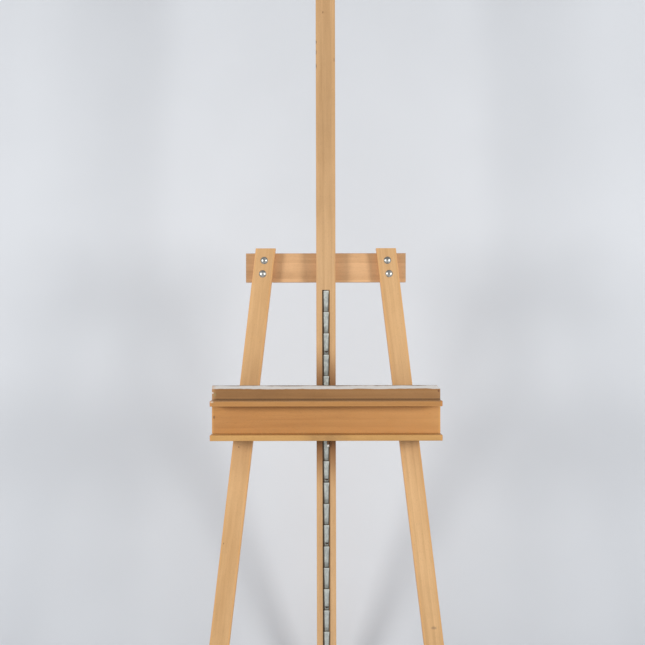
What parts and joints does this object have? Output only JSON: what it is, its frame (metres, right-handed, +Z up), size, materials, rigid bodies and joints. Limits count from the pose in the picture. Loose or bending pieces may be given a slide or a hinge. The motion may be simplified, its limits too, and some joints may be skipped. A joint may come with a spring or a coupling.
{
  "type": "artist easel",
  "caption": "Single-mast wooden studio easel with splayed front legs, hinged rear leg, two-shelf tray on a steel ratchet rack and sliding canvas holder.",
  "frame": {"origin": "on the floor, under the middle of the whole easel", "axes": "+Z up, +Y to the back (the rear leg), +X to the right of a person painting; the mast leans back 5.5 degrees towards +Y"},
  "size_m": [0.6544, 0.7056, 2.1235],
  "materials": {
    "leg_beech": "satin varnish",
    "mast_beech": "aged satin varnish",
    "crossbar_beech": "satin varnish",
    "tray_beech": "worn satin varnish",
    "rail_wood": "worn, paint-stained",
    "carriage_beech": "satin",
    "rack_steel": "dull, worn bright on the edges",
    "fastener_steel": "zinc plated",
    "hinge_steel": "dull plated",
    "pawl_steel": "dull",
    "insert_brass": "satin",
    "knob_plastic": "matte black",
    "foot_rubber": "matte"
  },
  "bodies": {
    "frame": {"front_leg_left": "leg_beech", "front_leg_right": "leg_beech", "front_foot_left": "foot_rubber", "front_foot_right": "foot_rubber", "upper_crossbar": "crossbar_beech", "lower_crossbar": "crossbar_beech", "mast": "mast_beech", "ratchet_rack": "rack_steel", "rack_screws": "fastener_steel", "leg_bolts": "fastener_steel", "leg_bolt_washers": "fastener_steel", "leg_bolt_nuts": "fastener_steel", "mast_screws": "fastener_steel", "hinge_bracket": "hinge_steel", "hinge_screws": "fastener_steel", "hinge_bolt": "fastener_steel", "hinge_washer": "fastener_steel"},
    "rear_leg": {"rear_leg": "leg_beech", "rear_leg_bush": "fastener_steel", "rear_foot": "foot_rubber"},
    "wing_nut": {"hinge_wing_nut": "fastener_steel"},
    "tray": {"tray_top_shelf": "tray_beech", "tray_apron": "tray_beech", "tray_bottom_shelf": "tray_beech", "tray_back_rail": "rail_wood", "tray_shelf_screws": "fastener_steel", "tray_cheek_left": "carriage_beech", "tray_cheek_right": "carriage_beech", "tray_runner_left": "carriage_beech", "tray_runner_right": "carriage_beech", "tray_keeper": "carriage_beech", "tray_keeper_screws": "fastener_steel", "pawl_pin": "fastener_steel", "pawl_spring": "fastener_steel"},
    "pawl": {"pawl": "pawl_steel"},
    "holder": {"holder_board": "carriage_beech", "holder_lip": "carriage_beech", "holder_cheek_left": "carriage_beech", "holder_cheek_right": "carriage_beech", "holder_keeper": "carriage_beech", "holder_keeper_screws": "fastener_steel", "holder_insert": "insert_brass"},
    "knob": {"holder_knob": "knob_plastic", "holder_knob_stud": "fastener_steel", "holder_pressure_pad": "fastener_steel"}
  },
  "joints": [
    {"name": "rear_leg_fold", "type": "hinge", "parent": "frame", "child": "rear_leg", "pos_m": [0, -0.1536, 1.28633], "axis": [1, 0, 0], "range_deg": [-26.5, 0]},
    {"name": "wing_nut_turn", "type": "hinge", "parent": "frame", "child": "wing_nut", "pos_m": [0, -0.1536, 1.28633], "axis": [1, 0, 0], "range_deg": [0, 360]},
    {"name": "tray_slide", "type": "slide", "parent": "frame", "child": "tray", "axis": [0, 0.0958, 0.9954], "range_m": [-0.3556, 0.254]},
    {"name": "pawl_release", "type": "hinge", "parent": "tray", "child": "pawl", "pos_m": [0, -0.27305, 0.97435], "axis": [1, 0, 0], "range_deg": [-7.5, 0], "stiffness_Nm_per_rad": 0.6, "springref_deg": 8.59},
    {"name": "holder_slide", "type": "slide", "parent": "frame", "child": "holder", "axis": [0, 0.0958, 0.9954], "range_m": [-0.66, 0.05]},
    {"name": "holder_knob_turn", "type": "hinge", "parent": "holder", "child": "knob", "pos_m": [0, -0.11424, 2.02898], "axis": [0, 0.9954, -0.0958], "range_deg": [0, 360]}
  ]
}
